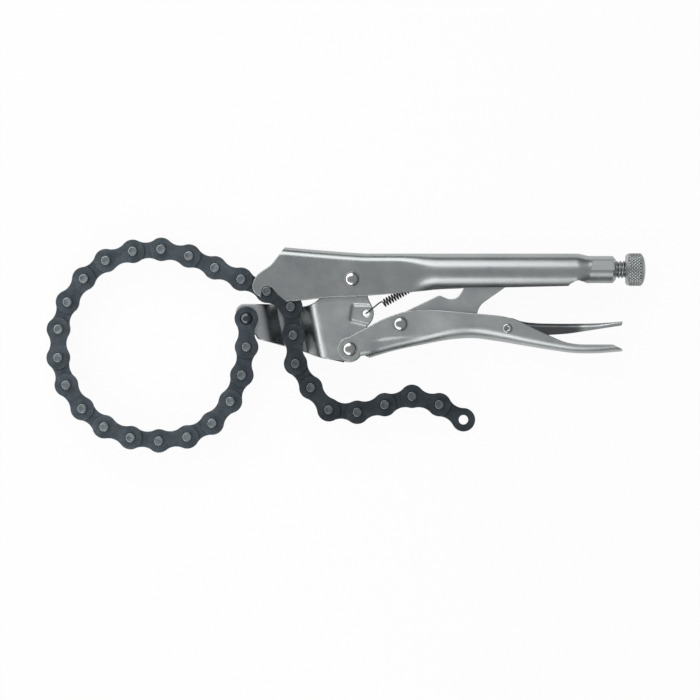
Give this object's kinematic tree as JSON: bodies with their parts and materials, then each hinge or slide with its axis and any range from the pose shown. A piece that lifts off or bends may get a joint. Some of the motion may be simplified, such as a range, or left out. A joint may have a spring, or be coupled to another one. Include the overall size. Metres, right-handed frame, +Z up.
{
  "type": "locking chain pliers",
  "caption": "Locking chain pliers: stamped steel handles, hinged jaw, toggle link with return spring, adjusting screw with knurled knob, and a leaf chain hooked into a loop.",
  "frame": {"origin": "centre of the bounding box's footprint, on the surface that the tool lies on", "axes": "the tool lies on its side: +X from the chain loop to the knob, +Y from the lower handle to the upper handle, +Z up and parallel to every pivot"},
  "size_m": [0.3336, 0.1198, 0.0233],
  "materials": {
    "satin_nickel": "satin nickel plate on stamped and bent steel",
    "bright_steel": "bright nickel plate on turned and headed steel",
    "chain_oxide": "blue-black oxide on stamped chain plates",
    "pin_steel": "grey worn oxide on chain pin ends",
    "spring_wire": "oil-blackened spring wire"
  },
  "bodies": {
    "fixed_handle": {"upper_handle": "satin_nickel", "upper_pivot_rivet": "bright_steel", "return_spring": "spring_wire"},
    "jaw": {"chain_jaw": "satin_nickel", "anchor_rivet": "chain_oxide"},
    "lower_handle": {"lower_handle": "satin_nickel", "lower_pivot_rivet": "bright_steel", "link_pivot_rivet": "bright_steel", "lever_rivet": "bright_steel"},
    "toggle_link": {"toggle_link": "satin_nickel"},
    "release_lever": {"release_lever": "satin_nickel"},
    "adjusting_screw": {"adjusting_screw": "bright_steel"},
    "knurled_knob": {"knurled_knob": "bright_steel"},
    "chain_link_01": {"anchor_link_front": "chain_oxide", "anchor_link_back": "chain_oxide"},
    "chain_link_02": {"chain_pin_link_02": "chain_oxide"},
    "chain_link_03": {"chain_inner_link_03": "chain_oxide"},
    "chain_link_04": {"chain_pin_link_04": "chain_oxide"},
    "chain_link_05": {"chain_inner_link_05": "chain_oxide"},
    "chain_link_06": {"chain_pin_link_06": "chain_oxide"},
    "chain_link_07": {"chain_inner_link_07": "chain_oxide"},
    "chain_link_08": {"chain_pin_link_08": "chain_oxide"},
    "chain_link_09": {"chain_inner_link_09": "chain_oxide"},
    "chain_link_10": {"chain_pin_link_10": "chain_oxide"},
    "chain_link_11": {"chain_inner_link_11": "chain_oxide"},
    "chain_link_12": {"chain_pin_link_12": "chain_oxide"},
    "chain_link_13": {"chain_inner_link_13": "chain_oxide"},
    "chain_link_14": {"chain_pin_link_14": "chain_oxide"},
    "chain_link_15": {"chain_inner_link_15": "chain_oxide"},
    "chain_link_16": {"chain_pin_link_16": "chain_oxide"},
    "chain_link_17": {"chain_inner_link_17": "chain_oxide"},
    "chain_link_18": {"chain_pin_link_18": "chain_oxide"},
    "chain_link_19": {"chain_inner_link_19": "chain_oxide"},
    "chain_link_20": {"chain_pin_link_20": "chain_oxide"},
    "chain_link_21": {"chain_inner_link_21": "chain_oxide"},
    "chain_link_22": {"chain_pin_link_22": "chain_oxide"},
    "chain_link_23": {"chain_inner_link_23": "chain_oxide"},
    "chain_link_24": {"chain_pin_link_24": "chain_oxide"},
    "chain_link_25": {"chain_inner_link_25": "chain_oxide"},
    "chain_link_26": {"chain_pin_link_26": "chain_oxide"},
    "chain_link_27": {"chain_inner_link_27": "chain_oxide"},
    "chain_link_28": {"chain_pin_link_28": "chain_oxide"},
    "chain_link_29": {"chain_inner_link_29": "chain_oxide"},
    "chain_link_30": {"chain_pin_link_30": "chain_oxide"},
    "chain_link_31": {"chain_end_link_31": "chain_oxide"}
  },
  "joints": [
    {"name": "jaw_pivot", "type": "hinge", "parent": "fixed_handle", "child": "jaw", "pos_m": [0.00314, 0.03677, 0.0141], "axis": [0, 0, 1], "range_deg": [0, 5], "deforming": ["return_spring"]},
    {"name": "lower_handle_pivot", "type": "hinge", "parent": "jaw", "child": "lower_handle", "pos_m": [0.00184, -0.00223, 0.0141], "axis": [0, 0, -1], "range_deg": [-0.01, 25.51]},
    {"name": "toggle_link_pivot", "type": "hinge", "parent": "lower_handle", "child": "toggle_link", "pos_m": [0.03014, 0.01177, 0.0141], "axis": [0, 0, 1], "range_deg": [-0.01, 31.51]},
    {"name": "release_lever_pivot", "type": "hinge", "parent": "lower_handle", "child": "release_lever", "pos_m": [0.08974, 0.00927, 0.0141], "axis": [0, 0, -1], "range_deg": [0, 8]},
    {"name": "chain_hinge_01", "type": "hinge", "parent": "jaw", "child": "chain_link_01", "pos_m": [-0.05556, 0.01482, 0.0141], "axis": [0, 0, 1], "range_deg": [-2.01, 2.01]},
    {"name": "chain_hinge_02", "type": "hinge", "parent": "chain_link_01", "child": "chain_link_02", "pos_m": [-0.05542, -0.00105, 0.0141], "axis": [0, 0, 1], "range_deg": [-4.42, 4.42]},
    {"name": "chain_hinge_03", "type": "hinge", "parent": "chain_link_02", "child": "chain_link_03", "pos_m": [-0.05804, -0.01671, 0.0141], "axis": [0, 0, 1], "range_deg": [-6, 6]},
    {"name": "chain_hinge_04", "type": "hinge", "parent": "chain_link_03", "child": "chain_link_04", "pos_m": [-0.06437, -0.03127, 0.0141], "axis": [0, 0, 1], "range_deg": [-5.14, 5.14]},
    {"name": "chain_hinge_05", "type": "hinge", "parent": "chain_link_04", "child": "chain_link_05", "pos_m": [-0.07457, -0.04343, 0.0141], "axis": [0, 0, 1], "range_deg": [-2.63, 2.63]},
    {"name": "chain_hinge_06", "type": "hinge", "parent": "chain_link_05", "child": "chain_link_06", "pos_m": [-0.08846, -0.05112, 0.0141], "axis": [0, 0, 1], "range_deg": [-2.01, 2.01]},
    {"name": "chain_hinge_07", "type": "hinge", "parent": "chain_link_06", "child": "chain_link_07", "pos_m": [-0.10418, -0.05333, 0.0141], "axis": [0, 0, 1], "range_deg": [-3.5, 3.5]},
    {"name": "chain_hinge_08", "type": "hinge", "parent": "chain_link_07", "child": "chain_link_08", "pos_m": [-0.11995, -0.05154, 0.0141], "axis": [0, 0, 1], "range_deg": [-5.18, 5.18]},
    {"name": "chain_hinge_09", "type": "hinge", "parent": "chain_link_08", "child": "chain_link_09", "pos_m": [-0.13462, -0.04546, 0.0141], "axis": [0, 0, 1], "range_deg": [-5.14, 5.14]},
    {"name": "chain_hinge_10", "type": "hinge", "parent": "chain_link_09", "child": "chain_link_10", "pos_m": [-0.14687, -0.03536, 0.0141], "axis": [0, 0, 1], "range_deg": [-3.46, 3.46]},
    {"name": "chain_hinge_11", "type": "hinge", "parent": "chain_link_10", "child": "chain_link_11", "pos_m": [-0.15574, -0.0222, 0.0141], "axis": [0, 0, 1], "range_deg": [-2.01, 2.01]},
    {"name": "chain_hinge_12", "type": "hinge", "parent": "chain_link_11", "child": "chain_link_12", "pos_m": [-0.16025, -0.00698, 0.0141], "axis": [0, 0, 1], "range_deg": [-2.24, 2.24]},
    {"name": "chain_hinge_13", "type": "hinge", "parent": "chain_link_12", "child": "chain_link_13", "pos_m": [-0.16011, 0.00889, 0.0141], "axis": [0, 0, 1], "range_deg": [-4.46, 4.46]},
    {"name": "chain_hinge_14", "type": "hinge", "parent": "chain_link_13", "child": "chain_link_14", "pos_m": [-0.15508, 0.02395, 0.0141], "axis": [0, 0, 1], "range_deg": [-5.24, 5.24]},
    {"name": "chain_hinge_15", "type": "hinge", "parent": "chain_link_14", "child": "chain_link_15", "pos_m": [-0.14597, 0.03695, 0.0141], "axis": [0, 0, 1], "range_deg": [-4.27, 4.27]},
    {"name": "chain_hinge_16", "type": "hinge", "parent": "chain_link_15", "child": "chain_link_16", "pos_m": [-0.13372, 0.04705, 0.0141], "axis": [0, 0, 1], "range_deg": [-2.01, 2.01]},
    {"name": "chain_hinge_17", "type": "hinge", "parent": "chain_link_16", "child": "chain_link_17", "pos_m": [-0.11871, 0.05222, 0.0141], "axis": [0, 0, 1], "range_deg": [-2.01, 2.01]},
    {"name": "chain_hinge_18", "type": "hinge", "parent": "chain_link_17", "child": "chain_link_18", "pos_m": [-0.10288, 0.05332, 0.0141], "axis": [0, 0, 1], "range_deg": [-4.18, 4.18]},
    {"name": "chain_hinge_19", "type": "hinge", "parent": "chain_link_18", "child": "chain_link_19", "pos_m": [-0.08744, 0.04962, 0.0141], "axis": [0, 0, 1], "range_deg": [-5.48, 5.48]},
    {"name": "chain_hinge_20", "type": "hinge", "parent": "chain_link_19", "child": "chain_link_20", "pos_m": [-0.07299, 0.04304, 0.0141], "axis": [0, 0, 1], "range_deg": [-4.73, 4.73]},
    {"name": "chain_hinge_21", "type": "hinge", "parent": "chain_link_20", "child": "chain_link_21", "pos_m": [-0.05844, 0.03671, 0.0141], "axis": [0, 0, 1], "range_deg": [-2.75, 2.75]},
    {"name": "chain_hinge_22", "type": "hinge", "parent": "chain_link_21", "child": "chain_link_22", "pos_m": [-0.04405, 0.03, 0.0141], "axis": [0, 0, 1], "range_deg": [-2.01, 2.01]},
    {"name": "chain_hinge_23", "type": "hinge", "parent": "chain_link_22", "child": "chain_link_23", "pos_m": [-0.03073, 0.02135, 0.0141], "axis": [0, 0, 1], "range_deg": [-5, 5]},
    {"name": "chain_hinge_24", "type": "hinge", "parent": "chain_link_23", "child": "chain_link_24", "pos_m": [-0.02935, 0.00554, 0.0141], "axis": [0, 0, -1], "range_deg": [-6, 6]},
    {"name": "chain_hinge_25", "type": "hinge", "parent": "chain_link_24", "child": "chain_link_25", "pos_m": [-0.02811, -0.01029, 0.0141], "axis": [0, 0, -1], "range_deg": [-10, 20]},
    {"name": "chain_hinge_26", "type": "hinge", "parent": "chain_link_25", "child": "chain_link_26", "pos_m": [-0.01957, -0.02368, 0.0141], "axis": [0, 0, -1], "range_deg": [-12, 30]},
    {"name": "chain_hinge_27", "type": "hinge", "parent": "chain_link_26", "child": "chain_link_27", "pos_m": [-0.00958, -0.03602, 0.0141], "axis": [0, 0, 1], "range_deg": [-30, 20]},
    {"name": "chain_hinge_28", "type": "hinge", "parent": "chain_link_27", "child": "chain_link_28", "pos_m": [0.00623, -0.0374, 0.0141], "axis": [0, 0, -1], "range_deg": [-30, 30]},
    {"name": "chain_hinge_29", "type": "hinge", "parent": "chain_link_28", "child": "chain_link_29", "pos_m": [0.02153, -0.03316, 0.0141], "axis": [0, 0, 1], "range_deg": [-30, 30]},
    {"name": "chain_hinge_30", "type": "hinge", "parent": "chain_link_29", "child": "chain_link_30", "pos_m": [0.03671, -0.02852, 0.0141], "axis": [0, 0, -1], "range_deg": [-30, 30]},
    {"name": "chain_hinge_31", "type": "hinge", "parent": "chain_link_30", "child": "chain_link_31", "pos_m": [0.05189, -0.03316, 0.0141], "axis": [0, 0, 1], "range_deg": [-30, 30]},
    {"name": "screw_travel", "type": "slide", "parent": "fixed_handle", "child": "adjusting_screw", "axis": [1, 0, 0], "range_m": [0, 0.016]},
    {"name": "knob_turn", "type": "hinge", "parent": "adjusting_screw", "child": "knurled_knob", "pos_m": [0.00314, 0.04207, 0.0141], "axis": [1, 0, 0], "range_deg": [0, 3629]}
  ],
  "couplings": [
    {"joint": "lower_handle_pivot", "follows": "jaw_pivot", "ratio": 5.1},
    {"joint": "toggle_link_pivot", "follows": "jaw_pivot", "ratio": 6.3},
    {"joint": "chain_hinge_01", "follows": "chain_hinge_03", "ratio": 0.233},
    {"joint": "chain_hinge_02", "follows": "chain_hinge_03", "ratio": 0.736},
    {"joint": "chain_hinge_04", "follows": "chain_hinge_03", "ratio": 0.855},
    {"joint": "chain_hinge_05", "follows": "chain_hinge_03", "ratio": 0.438},
    {"joint": "chain_hinge_06", "follows": "chain_hinge_03", "ratio": -0.098},
    {"joint": "chain_hinge_07", "follows": "chain_hinge_03", "ratio": -0.582},
    {"joint": "chain_hinge_08", "follows": "chain_hinge_03", "ratio": -0.862},
    {"joint": "chain_hinge_09", "follows": "chain_hinge_03", "ratio": -0.855},
    {"joint": "chain_hinge_10", "follows": "chain_hinge_03", "ratio": -0.575},
    {"joint": "chain_hinge_11", "follows": "chain_hinge_03", "ratio": -0.118},
    {"joint": "chain_hinge_12", "follows": "chain_hinge_03", "ratio": 0.373},
    {"joint": "chain_hinge_13", "follows": "chain_hinge_03", "ratio": 0.742},
    {"joint": "chain_hinge_14", "follows": "chain_hinge_03", "ratio": 0.872},
    {"joint": "chain_hinge_15", "follows": "chain_hinge_03", "ratio": 0.711},
    {"joint": "chain_hinge_16", "follows": "chain_hinge_03", "ratio": 0.299},
    {"joint": "chain_hinge_17", "follows": "chain_hinge_03", "ratio": -0.229},
    {"joint": "chain_hinge_18", "follows": "chain_hinge_03", "ratio": -0.695},
    {"joint": "chain_hinge_19", "follows": "chain_hinge_03", "ratio": -0.913},
    {"joint": "chain_hinge_20", "follows": "chain_hinge_03", "ratio": -0.788},
    {"joint": "chain_hinge_21", "follows": "chain_hinge_03", "ratio": -0.458},
    {"joint": "chain_hinge_22", "follows": "chain_hinge_03", "ratio": -0.089},
    {"joint": "knob_turn", "follows": "screw_travel", "rad_per_m": 3957.9}
  ]
}
